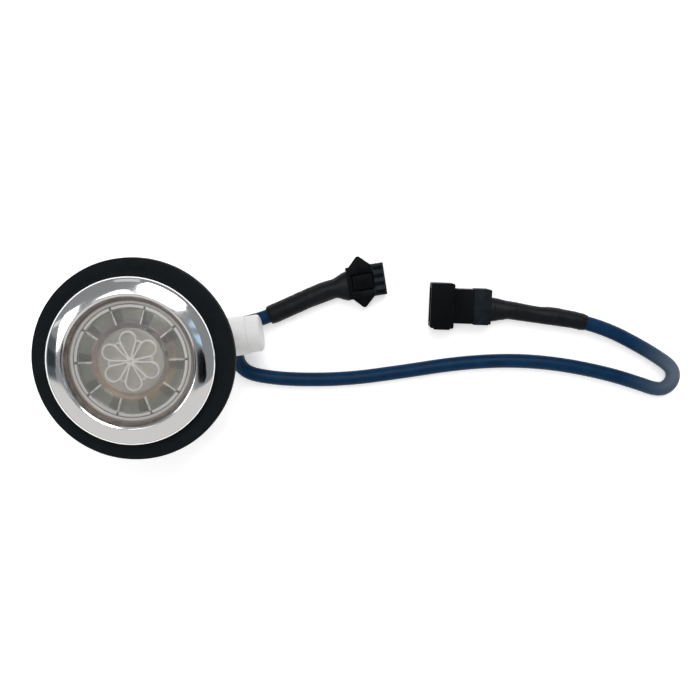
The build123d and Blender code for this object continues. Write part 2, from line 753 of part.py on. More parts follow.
with BuildPart() as socket_housing:
    with BuildSketch(socket_plane(0.3)):
        with Locations((SHROUD_START / 2, 0)):
            Rectangle(SHROUD_START, 10.8)
    extrude(amount=6.2)
    # wider rear band with cut corners
    with BuildSketch(socket_plane(0.15)):
        with BuildLine():
            Polyline(
                (0, -4.7), (0.9, -5.65), (BAND_END, -5.65),
                (BAND_END, 5.65), (0.9, 5.65), (0, 4.7),
                close=True,
            )
        make_face()
    extrude(amount=6.5)
    with BuildSketch(socket_plane(0)):
        with Locations(((SHROUD_START + SOCKET_LENGTH) / 2, 0)):
            RectangleRounded(SOCKET_LENGTH - SHROUD_START, 14.1, 0.6)
    extrude(amount=7.4)
    # rib along the shroud's side
    with BuildSketch(socket_plane(0)):
        with Locations((15.2, 7.15)):
            RectangleRounded(5.2, 1.0, 0.45)
    extrude(amount=5.6)
    # mouth
    with BuildSketch(socket_plane(1.0)):
        with Locations(((MOUTH_START + SOCKET_LENGTH) / 2 + 0.5, 0)):
            Rectangle(SOCKET_LENGTH - MOUTH_START + 1.0, 10.8)
    extrude(amount=5.4, mode=Mode.SUBTRACT)
    # pin slots in the mouth's floor
    with BuildSketch(socket_plane(AXIS_Z - 0.4)):
        with Locations(((MOUTH_START + 1.0) / 2 + 0.5, 0)):
            with GridLocations(1, CONTACT_PITCH, 1, CONTACT_COUNT):
                Rectangle(MOUTH_START, 0.8)
    extrude(amount=0.8, mode=Mode.SUBTRACT)
finish(socket_housing.part, "socket_housing")

with BuildPart() as socket_pins:
    with BuildSketch(socket_plane(AXIS_Z - 0.32)):
        with Locations(((PIN_END + 1.4) / 2, 0)):
            with GridLocations(1, CONTACT_PITCH, 1, CONTACT_COUNT):
                Rectangle(PIN_END - 1.4, 0.64)
    extrude(amount=0.64)
finish(socket_pins.part, "socket_pins")
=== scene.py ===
"""Looks of the underwater pool light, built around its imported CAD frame, in metres."""

import math

import bmesh
import bpy
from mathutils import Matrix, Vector, noise


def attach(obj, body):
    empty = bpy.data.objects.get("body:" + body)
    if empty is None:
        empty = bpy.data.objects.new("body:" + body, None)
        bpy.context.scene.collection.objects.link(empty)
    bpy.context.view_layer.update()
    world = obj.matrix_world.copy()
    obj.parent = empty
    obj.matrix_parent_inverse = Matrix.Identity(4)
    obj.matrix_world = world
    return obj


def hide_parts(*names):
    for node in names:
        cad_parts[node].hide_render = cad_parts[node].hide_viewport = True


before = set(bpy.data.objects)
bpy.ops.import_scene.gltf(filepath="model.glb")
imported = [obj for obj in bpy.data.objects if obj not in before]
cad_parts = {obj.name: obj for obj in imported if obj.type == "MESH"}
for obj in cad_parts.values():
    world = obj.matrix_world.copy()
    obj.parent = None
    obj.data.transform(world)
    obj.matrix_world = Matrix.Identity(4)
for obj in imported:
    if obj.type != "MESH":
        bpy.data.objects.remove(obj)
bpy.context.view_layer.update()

MM = 0.001
LIGHT = "light_body"

# ------------------------------------------------------------------ sizes, millimetres
GASKET_BORE_R = 19.1
GASKET_BOTTOM = 34.0
GASKET_TOP = 38.0
GASKET_GROOVE_Z = 37.85
BEZEL_R = 23.75
BEZEL_BOTTOM = 38.3
BEZEL_WALL = 1.1
BEZEL_WIDEST_Z = 41.0
BEZEL_CREST_R = 18.9
BEZEL_CREST_Z = 43.2
BEZEL_SEAT_Z = 40.5

LENS_R = 16.9
LENS_BOTTOM = 38.6
LENS_TOP = 40.2
LENS_STEPS = 720
RIM_INNER_R = 16.1
RIM_HEIGHT = 0.3
LEDGE_START_R = 14.85
LEDGE_HEIGHT = 0.18
SEGMENT_START_R = 9.6
SEGMENT_COUNT = 10
SEGMENT_ANGLE = 2.0
RIB_START_R = 10.6
RIB_HALF_WIDTH = 0.22
RIB_HEIGHT = 0.42
PAD_HEIGHT = 0.34
DARK_PAD_HEIGHT = 0.16
ROSETTE_R = 9.2
ROSETTE_HEIGHT = 0.3
RIDGE_HEIGHT = 0.33
PETAL_HOLLOW = 0.10
PETAL_COUNT = 6
PETAL_ANGLE = 36.0
CLEAR, PAD, DARK_PAD, ROSETTE, FROSTED, RIM = range(6)

CABLE_R = 2.25
SLEEVE_BORE_R = CABLE_R + 0.05
AXIS_Z = 3.3  # both connectors' axes
GROUND_Z = 2.3  # centre of a cable that lies on the table
SOCKET_REAR = (105.5, 12.4)
SOCKET_HEADING = 178.0
SOCKET_BAND = 5.4
PLUG_HEADING = 9.0
PLUG_NOSE_START = 8.2
PLUG_NOSE_TOP = 5.4
FACE_MARGIN = 0.05  # how far off a plane a face may lie and still be picked

LONG_ROUTE = [
    (25.61, 0.78, 9.82), (25.14, -2.09, 6.25), (25.9, -6.4, 3.2), (28.6, -8.9, GROUND_Z),
    (33.5, -10.1, GROUND_Z), (43.0, -11.1, GROUND_Z), (60.0, -10.95, GROUND_Z),
    (78.0, -8.5, GROUND_Z), (95.5, -5.75, GROUND_Z), (112.0, -4.75, GROUND_Z),
    (127.0, -5.8, GROUND_Z), (142.0, -8.7, GROUND_Z), (152.5, -11.8, GROUND_Z),
    (160.0, -14.5, GROUND_Z), (163.4, -13.3, GROUND_Z), (165.0, -10.4, GROUND_Z),
    (164.3, -7.15, GROUND_Z), (160.3, -4.15, GROUND_Z), (153.0, 0.2, GROUND_Z),
    (143.3, 5.1, AXIS_Z), (132.0, 8.5, AXIS_Z), (121.0, 10.0, AXIS_Z),
    (114.0, 11.3, AXIS_Z), (105.5, 11.6, AXIS_Z),
]
SHORT_ROUTE = [
    (20.78, 4.39, 9.45), (23.19, 5.82, 5.08), (28.9, 7.6, 3.5), (32.8, 8.5, AXIS_Z),
    (38.4, 10.8, AXIS_Z), (48.4, 15.35, AXIS_Z), (54.95, 18.1, AXIS_Z), (60.5, 18.98, AXIS_Z),
]
LONG_SLEEVE = 30.7
SHORT_SLEEVE = 26.8


# ------------------------------------------------------------------ camera
def make_camera():
    """Looks down at the table, a little off the vertical."""
    tilt = math.radians(7.0)
    distance = 300 * MM
    aim = Vector((61.65, -2.0, 0.0)) * MM
    camera = bpy.data.cameras.new("camera")
    camera.lens = 47.83
    camera.sensor_width = 36.0
    camera.shift_x = -0.0023
    camera.shift_y = 0.0009
    camera.clip_start = 0.01
    camera.clip_end = 20.0
    holder = bpy.data.objects.new("camera", camera)
    holder.location = aim + distance * Vector((0.0, math.sin(tilt), math.cos(tilt)))
    holder.rotation_euler = (-tilt, 0.0, 0.0)
    bpy.context.collection.objects.link(holder)
    bpy.context.scene.camera = holder


# ------------------------------------------------------------------ materials
FOLD_POINT = (0.1668, -0.0082, 0.0025)  # outside of the long lead's fold, metres
# The painted sheen: its reach, the share that is fully pale, its falloff and its colour.
SHEEN_REACH = 0.020
SHEEN_CORE = 0.1  # share of the reach that is fully pale
SHEEN_FALL = 1.7
SHEEN_BLUE = (0.10, 0.13, 0.17)


class Shader:
    """A Principled material and the few node patterns that the materials share."""

    def __init__(self, name, color, roughness, metallic=0.0, **sockets):
        self.material = bpy.data.materials.new(name)
        self.material.use_nodes = True
        self.nodes = self.material.node_tree.nodes
        self.links = self.material.node_tree.links
        self.bsdf = self.nodes["Principled BSDF"]
        self.bsdf.inputs["Base Color"].default_value = (*color, 1.0)
        self.bsdf.inputs["Roughness"].default_value = roughness
        self.bsdf.inputs["Metallic"].default_value = metallic
        for socket, value in sockets.items():
            self.bsdf.inputs[socket.replace("_", " ")].default_value = value
        self.coordinates = self.nodes.new("ShaderNodeTexCoord").outputs["Object"]
        self.normal = None

    def noise(self, scale, detail, roughness):
        """Noise in object space; scale is in cells per metre."""
        texture = self.nodes.new("ShaderNodeTexNoise")
        texture.inputs["Scale"].default_value = scale
        texture.inputs["Detail"].default_value = detail
        texture.inputs["Roughness"].default_value = roughness
        self.links.new(self.coordinates, texture.inputs["Vector"])
        return texture.outputs["Fac"]

    def ramp(self, factor, low, high, low_color, high_color):
        """Two-stop colour ramp between two noise levels."""
        ramp = self.nodes.new("ShaderNodeValToRGB")
        stops = zip(ramp.color_ramp.elements, (low, high), (low_color, high_color))
        for stop, position, color in stops:
            stop.position = position
            stop.color = (*color, 1.0)
        self.links.new(factor, ramp.inputs["Fac"])
        return ramp.outputs["Color"]

    def painted_sheen(self, color, center, reach, pale):
        """Fades a colour towards a pale one within reach of a point: a painted sheen."""
        away = self.nodes.new("ShaderNodeVectorMath")
        away.operation = "DISTANCE"
        away.inputs[1].default_value = center
        self.links.new(self.coordinates, away.inputs[0])
        near = self.nodes.new("ShaderNodeMapRange")
        near.inputs["From Min"].default_value = reach
        near.inputs["From Max"].default_value = SHEEN_CORE * reach
        self.links.new(away.outputs["Value"], near.inputs["Value"])
        fall = self.nodes.new("ShaderNodeMath")
        fall.operation = "POWER"
        fall.inputs[1].default_value = SHEEN_FALL
        self.links.new(near.outputs["Result"], fall.inputs[0])
        mix = self.nodes.new("ShaderNodeMix")
        mix.data_type = "RGBA"
        self.links.new(fall.outputs["Value"], mix.inputs["Factor"])
        first, second = [socket for socket in mix.inputs if socket.type == "RGBA"]
        self.links.new(color, first)
        second.default_value = (*pale, 1.0)
        return next(socket for socket in mix.outputs if socket.type == "RGBA")

    def level(self, factor, low, high):
        """Remaps a 0 to 1 factor to a range."""
        mapped = self.nodes.new("ShaderNodeMapRange")
        mapped.inputs["To Min"].default_value = low
        mapped.inputs["To Max"].default_value = high
        self.links.new(factor, mapped.inputs["Value"])
        return mapped.outputs["Result"]

    def color(self, output):
        self.links.new(output, self.bsdf.inputs["Base Color"])

    def roughness(self, output):
        self.links.new(output, self.bsdf.inputs["Roughness"])

    def bump(self, factor, strength, distance):
        """Adds a layer of bump; distance is in millimetres."""
        bump = self.nodes.new("ShaderNodeBump")
        bump.inputs["Strength"].default_value = strength
        bump.inputs["Distance"].default_value = distance * MM
        self.links.new(factor, bump.inputs["Height"])
        if self.normal is not None:
            self.links.new(self.normal, bump.inputs["Normal"])
        self.normal = bump.outputs["Normal"]
        self.links.new(self.normal, self.bsdf.inputs["Normal"])


def chrome():
    """Bright plating, faintly smeared."""
    shader = Shader("chrome", (0.86, 0.862, 0.866), 0.05, metallic=1.0)
    smear = shader.noise(70, 3, 0.6)
    haze = shader.noise(2600, 2, 0.5)
    shader.roughness(shader.level(smear, 0.03, 0.12))
    shader.bump(smear, 0.05, 0.05)
    shader.bump(haze, 0.02, 0.005)
    return shader.material


def painted_shade_chrome():
    """The bezel's inner lip, browned and dulled: painted shade and painted dark reflection in the
    deep lip.
    """
    # Painted shade: dark brown chrome on the lip stands in for its shade and dark reflections.
    shader = Shader("painted_shade_chrome", (0.20, 0.175, 0.165), 0.3, metallic=1.0)
    lip_mottle = shader.noise(420, 4, 0.6)
    shader.color(shader.ramp(lip_mottle, 0.3, 0.75, (0.25, 0.225, 0.215), (0.50, 0.45, 0.43)))
    shader.roughness(shader.level(lip_mottle, 0.22, 0.42))
    shader.bump(lip_mottle, 0.1, 0.03)
    return shader.material


def gasket_rubber():
    shader = Shader("gasket_rubber", (0.004, 0.007, 0.009), 0.8, Specular_IOR_Level=0.12)
    dust = shader.noise(260, 5, 0.65)
    grain = shader.noise(3800, 3, 0.6)
    shader.color(shader.ramp(dust, 0.35, 0.75, (0.0022, 0.0042, 0.0055), (0.006, 0.009, 0.011)))
    shader.roughness(shader.level(dust, 0.62, 0.9))
    shader.bump(grain, 0.25, 0.05)
    shader.bump(dust, 0.2, 0.12)
    return shader.material


def cable_vinyl():
    shader = Shader("cable_vinyl", (0.0006, 0.021, 0.062), 0.34, Specular_IOR_Level=0.1)
    cloud = shader.noise(240, 4, 0.6)
    grain = shader.noise(2600, 3, 0.6)
    blue = shader.ramp(cloud, 0.3, 0.75, (0.0004, 0.017, 0.052), (0.0012, 0.028, 0.080))
    # Painted sheen: the blue pales near the outside of the long lead's fold.
    shader.color(shader.painted_sheen(blue, FOLD_POINT, SHEEN_REACH, SHEEN_BLUE))
    shader.roughness(shader.level(cloud, 0.3, 0.55))
    shader.bump(grain, 0.15, 0.03)
    shader.bump(cloud, 0.25, 0.15)
    return shader.material


def heat_shrink():
    shader = Shader("heat_shrink", (0.003, 0.0042, 0.006), 0.4, Specular_IOR_Level=0.15)
    cloud = shader.noise(420, 4, 0.6)
    grain = shader.noise(3000, 3, 0.6)
    shader.color(shader.ramp(cloud, 0.3, 0.75, (0.0016, 0.0026, 0.0038), (0.0045, 0.006, 0.009)))
    shader.roughness(shader.level(cloud, 0.35, 0.6))
    shader.bump(cloud, 0.5, 0.2)
    shader.bump(grain, 0.15, 0.03)
    return shader.material


def connector_nylon(name="connector_nylon", tone=1.0):
    """Moulded nylon; a higher tone is paler: the socket's scuffed band, and the painted highlight
    on the plug's nose.
    """
    dark = (0.0012 * tone, 0.0018 * tone, 0.0025 * tone)
    pale = (0.0025 * tone, 0.0036 * tone, 0.0048 * tone)
    shader = Shader(name, dark, 0.45, Specular_IOR_Level=0.05)
    cloud = shader.noise(300, 4, 0.6)
    grain = shader.noise(4200, 2, 0.5)
    shader.color(shader.ramp(cloud, 0.3, 0.75, dark, pale))
    shader.roughness(shader.level(cloud, 0.35, 0.6))
    shader.bump(grain, 0.2, 0.03)
    return shader.material


def white_plastic():
    shader = Shader("white_plastic", (0.72, 0.72, 0.72), 0.42, Specular_IOR_Level=0.4)
    cloud = shader.noise(120, 4, 0.55)
    grain = shader.noise(2400, 3, 0.6)
    shader.color(shader.ramp(cloud, 0.3, 0.8, (0.67, 0.672, 0.675), (0.77, 0.77, 0.768)))
    shader.roughness(shader.level(cloud, 0.34, 0.52))
    shader.bump(grain, 0.12, 0.03)
    shader.bump(cloud, 0.2, 0.15)
    return shader.material


def lens_plastic(name, color, transmission, low, high, bump):
    """Clear moulding; the roughness range sets how frosted it looks."""
    shader = Shader(name, color, low, Transmission_Weight=transmission, IOR=1.45)
    cloud = shader.noise(260, 3, 0.5)
    ripple = shader.noise(1500, 2, 0.5)
    shader.roughness(shader.level(cloud, low, high))
    shader.bump(cloud, 0.2, bump)
    shader.bump(ripple, 0.1, 0.02)
    return shader.material


def seal_silicone():
    shader = Shader("seal_silicone", (0.20, 0.165, 0.145), 0.5)
    cloud = shader.noise(500, 3, 0.5)
    shader.roughness(shader.level(cloud, 0.4, 0.6))
    shader.bump(cloud, 0.2, 0.05)
    return shader.material


def reflector_plastic():
    shader = Shader("reflector_plastic", (0.26, 0.25, 0.23), 0.38, metallic=0.15)
    cloud = shader.noise(300, 4, 0.5)
    shader.color(shader.ramp(cloud, 0.3, 0.7, (0.21, 0.205, 0.185), (0.31, 0.30, 0.28)))
    shader.roughness(shader.level(cloud, 0.3, 0.5))
    shader.bump(cloud, 0.15, 0.1)
    return shader.material


def tinted_rim():
    """Heat-tinted metallised edge: straw and copper on one side, violet on the other."""
    shader = Shader("tinted_rim", (0.42, 0.27, 0.17), 0.4, metallic=0.2)
    split = shader.nodes.new("ShaderNodeSeparateXYZ")
    shader.links.new(shader.coordinates, split.inputs["Vector"])
    cloud = shader.noise(350, 4, 0.5)
    across = shader.nodes.new("ShaderNodeMapRange")
    across.inputs["From Min"].default_value = -0.010
    across.inputs["From Max"].default_value = 0.010
    shader.links.new(split.outputs["Y"], across.inputs["Value"])
    mixed = shader.nodes.new("ShaderNodeMath")
    mixed.operation = "MULTIPLY_ADD"
    mixed.inputs[1].default_value = 0.8
    shader.links.new(across.outputs["Result"], mixed.inputs[0])
    shader.links.new(shader.level(cloud, -0.1, 0.3), mixed.inputs[2])
    tint = shader.ramp(mixed.outputs["Value"], 0.35, 0.85, (0.50, 0.31, 0.19), (0.30, 0.22, 0.28))
    shader.color(tint)
    shader.roughness(shader.level(cloud, 0.3, 0.5))
    shader.bump(cloud, 0.15, 0.1)
    return shader.material


def plain(name, color, roughness, metallic=0.0, variation=0.12, scale=500, bump=0.04):
    """Small parts: one colour, varied a little, with fine bump."""
    shader = Shader(name, color, roughness, metallic)
    cloud = shader.noise(scale, 4, 0.55)
    low = [channel * (1 - variation) for channel in color]
    high = [min(1.0, channel * (1 + variation)) for channel in color]
    shader.color(shader.ramp(cloud, 0.3, 0.7, low, high))
    shader.roughness(shader.level(cloud, roughness * 0.8, min(1.0, roughness * 1.25)))
    shader.bump(cloud, 0.3, bump)
    return shader.material


# ------------------------------------------------------------------ mesh helpers
def finish_mesh(name, mesh, materials, crease=35.0):
    """Wraps a mesh in an object, smooth except at edges sharper than crease degrees."""
    for material in materials:
        mesh.materials.append(material)
    mesh.polygons.foreach_set("use_smooth", [True] * len(mesh.polygons))
    mesh.set_sharp_from_angle(angle=math.radians(crease))
    piece = bpy.data.objects.new(name, mesh)
    bpy.context.collection.objects.link(piece)
    return piece


def place(piece, body, slot, *nodes):
    """Rides a piece on its body, in place of CAD nodes."""
    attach(piece, body)
    if nodes:
        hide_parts(*nodes)
    return piece


def arc(center_r, center_z, half_width, height, start, end, steps):
    """Points of an elliptical arc in a section, angles in degrees from outwards to up."""
    points = []
    for step in range(steps + 1):
        angle = math.radians(start + (end - start) * step / steps)
        r = center_r + half_width * math.cos(angle)
        points.append((r, center_z + height * math.sin(angle)))
    return points


def mesh_from(bm, name):
    """Closes off a bmesh as a new mesh."""
    mesh = bpy.data.meshes.new(name)
    bm.to_mesh(mesh)
    bm.free()
    return mesh


def lathe(name, section, materials, steps, pick=None):
    """Closed ring from a section of (r, z) points; pick chooses a material for each band."""
    bm = bmesh.new()
    rows = []
    for step in range(steps):
        angle = 2 * math.pi * step / steps
        row = []
        for r, z in section:
            x, y = r * math.cos(angle), r * math.sin(angle)
            row.append(bm.verts.new((x * MM, y * MM, z * MM)))
        rows.append(row)
    for step, row in enumerate(rows):
        following = rows[(step + 1) % steps]
        for index in range(len(section)):
            after = (index + 1) % len(section)
            face = bm.faces.new((row[index], following[index], following[after], row[after]))
            face.material_index = pick(index) if pick else 0
    bmesh.ops.recalc_face_normals(bm, faces=bm.faces)
    return finish_mesh(name, mesh_from(bm, name), materials)


def apply_modifiers(piece):
    """Replaces a piece's mesh with what its modifiers make of it."""
    graph = bpy.context.evaluated_depsgraph_get()
    mesh = bpy.data.meshes.new_from_object(piece.evaluated_get(graph))
    piece.modifiers.clear()
    piece.data = mesh


def softened(node, body, slot, material, width, cut=None):
    """Copy of a flat-sided CAD node with rounded edges, its faces split at a cut plane."""
    bm = bmesh.new()
    bm.from_mesh(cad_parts[node].data)
    bmesh.ops.remove_doubles(bm, verts=bm.verts, dist=0.001 * MM)
    bmesh.ops.dissolve_limit(bm, angle_limit=math.radians(1.0), verts=bm.verts, edges=bm.edges)
    if cut:
        everything = bm.verts[:] + bm.edges[:] + bm.faces[:]
        bmesh.ops.bisect_plane(bm, geom=everything, plane_co=cut[0], plane_no=cut[1])
    piece = finish_mesh(f"{node}_rounded", mesh_from(bm, node), [material])
    bevel = piece.modifiers.new("bevel", "BEVEL")
    bevel.width = width * MM
    bevel.segments = 3
    bevel.limit_method = "ANGLE"
    bevel.angle_limit = math.radians(30)
    apply_modifiers(piece)
    piece.data.set_sharp_from_angle(angle=math.radians(40))
    return place(piece, body, slot, node)


# ------------------------------------------------------------------ cords
def cord_curve(name, route, radius, material):
    """Cable on one smooth NURBS line through its route."""
    curve = bpy.data.curves.new(name, "CURVE")
    curve.dimensions = "3D"
    curve.resolution_u = 16
    curve.bevel_depth = radius * MM
    curve.bevel_resolution = 8
    curve.use_fill_caps = True
    spline = curve.splines.new("NURBS")
    spline.points.add(len(route) - 1)
    for point, place_mm in zip(spline.points, route):
        point.co = (*(value * MM for value in place_mm), 1.0)
    spline.order_u = 3
    spline.use_endpoint_u = True
    curve.materials.append(material)
    piece = bpy.data.objects.new(name, curve)
    bpy.context.collection.objects.link(piece)
    return piece


def centreline(route, resolution=24):
    """Points along a route's NURBS line, in millimetres."""
    piece = cord_curve("centreline", route, 0.0, None)
    piece.data.resolution_u = resolution
    bpy.context.view_layer.update()
    graph = bpy.context.evaluated_depsgraph_get()
    mesh = bpy.data.meshes.new_from_object(piece.evaluated_get(graph))
    points = [vertex.co / MM for vertex in mesh.vertices]
    bpy.data.objects.remove(piece)
    bpy.data.meshes.remove(mesh)
    return points


def last_stretch(points, length, steps):
    """Evenly spaced points over the last length millimetres of a line."""
    distances = [0.0]
    for before, after in zip(points, points[1:]):
        distances.append(distances[-1] + (after - before).length)
    total = distances[-1]
    picked, index = [], 0
    for step in range(steps + 1):
        wanted = total - length + length * step / steps
        while index < len(points) - 2 and distances[index + 1] < wanted:
            index += 1
        span = distances[index + 1] - distances[index]
        part = min(1.0, max(0.0, (wanted - distances[index]) / span))
        picked.append(points[index].lerp(points[index + 1], part))
    return picked


def tube_frames(points):
    """Sideways and up directions across each point of a nearly level line."""
    frames = []
    for index, point in enumerate(points):
        before = points[max(index - 1, 0)]
        after = points[min(index + 1, len(points) - 1)]
        along = (after - before).normalized()
        side = Vector((0, 0, 1)).cross(along).normalized()
        frames.append((point, side, along.cross(side)))
    return frames


def sleeve_mesh(name, points, section_at, material, seed):
    """Heat-shrink skin round a line, with its wall turned in at both ends."""
    around = 48
    table_z = 0.02
    wrinkle_depth = 0.025
    frames = tube_frames(points)
    last = len(frames) - 1
    bm = bmesh.new()
    rows = []
    for index, (point, side, up) in enumerate(frames):
        part = index / last
        wide, high = section_at(part)
        row = []
        for step in range(around):
            angle = 2 * math.pi * step / around
            wrinkle = noise.noise(Vector((part * 18 + seed, math.cos(angle), math.sin(angle))))
            wrinkle += 0.5 * noise.noise(Vector((part * 50 + seed, math.cos(angle), seed)))
            swell = 1 + wrinkle_depth * wrinkle
            place_mm = point + side * (wide * swell * math.cos(angle))
            place_mm += up * (high * swell * math.sin(angle))
            place_mm.z = max(place_mm.z, table_z)
            row.append(bm.verts.new(place_mm * MM))
        rows.append(row)
    for index in (last, 0):
        point, side, up = frames[index]
        row = []
        for step in range(around):
            angle = 2 * math.pi * step / around
            outward = side * math.cos(angle) + up * math.sin(angle)
            row.append(bm.verts.new((point + outward * SLEEVE_BORE_R) * MM))
        rows.append(row)
    for index, row in enumerate(rows):
        following = rows[(index + 1) % len(rows)]
        for step in range(around):
            after = (step + 1) % around
            bm.faces.new((row[step], row[after], following[after], following[step]))
    bmesh.ops.recalc_face_normals(bm, faces=bm.faces)
    return finish_mesh(name, mesh_from(bm, name), [material], crease=50)


def smoothstep(low, high, value):
    """Eased step from 0 to 1 between two values."""
    part = min(1.0, max(0.0, (value - low) / (high - low)))
    return part * part * (3 - 2 * part)


def long_sleeve_section(part):
    """Half width and half height: over the jacket, a waist, then flat over the four wires."""
    jacket = 2.5 + 0.2 * smoothstep(0.0, 0.05, part) + 0.12 * smoothstep(0.22, 0.31, part)
    jacket -= 0.42 * smoothstep(0.36, 0.52, part)
    rise = 0.45 * smoothstep(0.6, 0.8, part)
    return jacket + rise + 0.95 * smoothstep(0.78, 1.0, part), jacket + rise


def short_sleeve_section(part):
    """Half width and half height: even over the jacket, then flat over the four wires."""
    jacket = 3.05 - 0.2 * (1 - smoothstep(0.0, 0.04, part))
    return jacket + 1.6 * smoothstep(0.82, 1.0, part), jacket + 0.1 * smoothstep(0.78, 1.0, part)


def direction(heading):
    """Level direction from a heading in degrees."""
    angle = math.radians(heading)
    return Vector((math.cos(angle), math.sin(angle), 0))


def make_plug():
    """Plug housing; the grooves between its nose ribs are paler, a painted highlight."""
    forward = direction(PLUG_HEADING)
    nose = Vector((*SHORT_ROUTE[-1][:2], 0)) * MM + forward * PLUG_NOSE_START * MM
    piece = softened("plug_housing", LIGHT, "connector_black", NYLON, 0.25, cut=(nose, forward))
    # Painted highlight: the nose's level top faces take a nylon nine times paler.
    piece.data.materials.append(connector_nylon("connector_painted_highlight", 9.0))
    for face in piece.data.polygons:
        level = abs(face.center.z - PLUG_NOSE_TOP * MM) < FACE_MARGIN * MM and face.normal.z > 0.9
        if level and (face.center - nose).dot(forward) > 0:
            face.material_index = 1
    return piece


def make_socket():
    """Socket housing with its scuffed rear band."""
    forward = direction(SOCKET_HEADING)
    rear = Vector((*SOCKET_REAR, 0)) * MM
    piece = softened("socket_housing", LIGHT, "connector_black", NYLON, 0.3)
    piece.data.materials.append(connector_nylon("connector_scuffed", 4.5))
    for face in piece.data.polygons:
        if (face.center - rear).dot(forward) < (SOCKET_BAND + 2 * FACE_MARGIN) * MM:
            face.material_index = 1
    return piece


make_camera()
VINYL, SHRINK, NYLON = cable_vinyl(), heat_shrink(), connector_nylon()

long_lead = cord_curve("long_lead_cable", LONG_ROUTE, CABLE_R, VINYL)
short_lead = cord_curve("short_lead_cable", SHORT_ROUTE, CABLE_R, VINYL)
place(long_lead, LIGHT, "cable_blue", "long_lead")
place(short_lead, LIGHT, "cable_blue", "short_lead")

long_sleeve = sleeve_mesh(
    "long_lead_shrink", last_stretch(centreline(LONG_ROUTE), LONG_SLEEVE, 120),
    long_sleeve_section, SHRINK, seed=3.0,
)
short_sleeve = sleeve_mesh(
    "short_lead_shrink", last_stretch(centreline(SHORT_ROUTE), SHORT_SLEEVE, 110),
    short_sleeve_section, SHRINK, seed=11.0,
)
place(long_sleeve, LIGHT, "heat_shrink", "long_lead_sleeve")
place(short_sleeve, LIGHT, "heat_shrink", "short_lead_sleeve")

plug = make_plug()
socket = make_socket()
latch = softened("plug_latch", "latch", "connector_black", NYLON, 0.12)


# ------------------------------------------------------------------ gasket
def make_gasket(material):
    """Moulded ring with rounded edges and a shallow groove round the bezel."""
    section = [(GASKET_BORE_R, GASKET_BOTTOM)]
    section += arc(27.9, 34.9, 0.9, 0.9, -90, 0, 6)
    section += arc(28.0, 37.2, 0.8, 0.8, 0, 90, 6)
    section += [(25.6, GASKET_TOP), (25.2, GASKET_GROOVE_Z), (24.4, GASKET_GROOVE_Z)]
    section += [(24.0, GASKET_TOP), (GASKET_BORE_R, GASKET_TOP)]
    piece = lathe("gasket_ring", section, [material], steps=288)
    return place(piece, LIGHT, "black_rubber", "face_gasket")


# ------------------------------------------------------------------ bezel
def make_bezel(chrome_material, lip_material):
    """Pressed ring: skirt, dome that falls outwards, rounded lip down to the lens."""
    half_width = BEZEL_R - BEZEL_CREST_R
    height = BEZEL_CREST_Z - BEZEL_WIDEST_Z
    section = [(23.25, BEZEL_BOTTOM), (23.5, 38.75), (23.66, 39.5), (23.73, 40.3)]
    section += arc(BEZEL_CREST_R, BEZEL_WIDEST_Z, half_width, height, 0, 90, 40)
    section += arc(BEZEL_CREST_R, 42.4, 0.85, 0.8, 105, 165, 5)
    # Bands from first_lip to last_lip take the lip material, painted shade.
    first_lip = len(section) - 3
    section += [(17.86, 42.15), (17.68, 41.75), (17.55, 41.3), (17.5, 40.9)]
    section += [(17.52, BEZEL_SEAT_Z)]
    last_lip = len(section)
    section += [(18.6, BEZEL_SEAT_Z), (18.6, 41.2)]
    section += arc(BEZEL_CREST_R, BEZEL_SEAT_Z, half_width - BEZEL_WALL, 1.6, 90, 0, 12)
    section += [(BEZEL_R - BEZEL_WALL, BEZEL_BOTTOM)]
    piece = lathe(
        "bezel_chrome", section, [chrome_material, lip_material], steps=360,
        pick=lambda index: 1 if first_lip <= index < last_lip else 0,
    )
    return place(piece, "bezel", "chrome", "bezel_ring")


# ------------------------------------------------------------------ lens
def taper_outline(along, across, near, far, near_r, far_r):
    """Signed distance to a bar with round ends of two sizes, from near to far."""
    length = far - near
    x, y = abs(across), along - near
    lean = (near_r - far_r) / length
    rise = math.sqrt(1 - lean * lean)
    reach = rise * y - lean * x
    if reach < 0:
        return math.hypot(x, y) - near_r
    if reach > rise * length:
        return math.hypot(x, y - length) - far_r
    return rise * x + lean * y - near_r


def from_nearest(azimuth, first, count):
    """Signed angle to the nearest of count directions spaced evenly from the first."""
    spacing = 360 / count
    return (azimuth - first + spacing / 2) % spacing - spacing / 2


def segment_surface(r, azimuth):
    """Ribs and pads of the ring of prisms, and the ledge outside it."""
    turn = from_nearest(azimuth, SEGMENT_ANGLE, SEGMENT_COUNT)
    side = r * abs(math.sin(math.radians(turn)))
    if r > LEDGE_START_R:
        ledge = LEDGE_HEIGHT * (smoothstep(14.9, 15.1, r) - smoothstep(15.8, 16.0, r))
        return ledge, FROSTED if side > 0.35 and 15.0 < r < 15.8 else PAD
    if side < RIB_HALF_WIDTH and r > RIB_START_R:
        return RIB_HEIGHT, FROSTED
    block = 0.0
    if 11.0 < r < 14.6:
        block = DARK_PAD_HEIGHT * (1 - smoothstep(-0.4, 0.4, abs(turn + 7.0) - 5.0))
    inside = min(r - 10.9, 14.5 - r, side - 0.45)
    finish = PAD if inside > 0.25 else CLEAR
    if block > DARK_PAD_HEIGHT / 2:
        finish = DARK_PAD
    return PAD_HEIGHT * smoothstep(-0.05, 0.3, inside) + block, finish


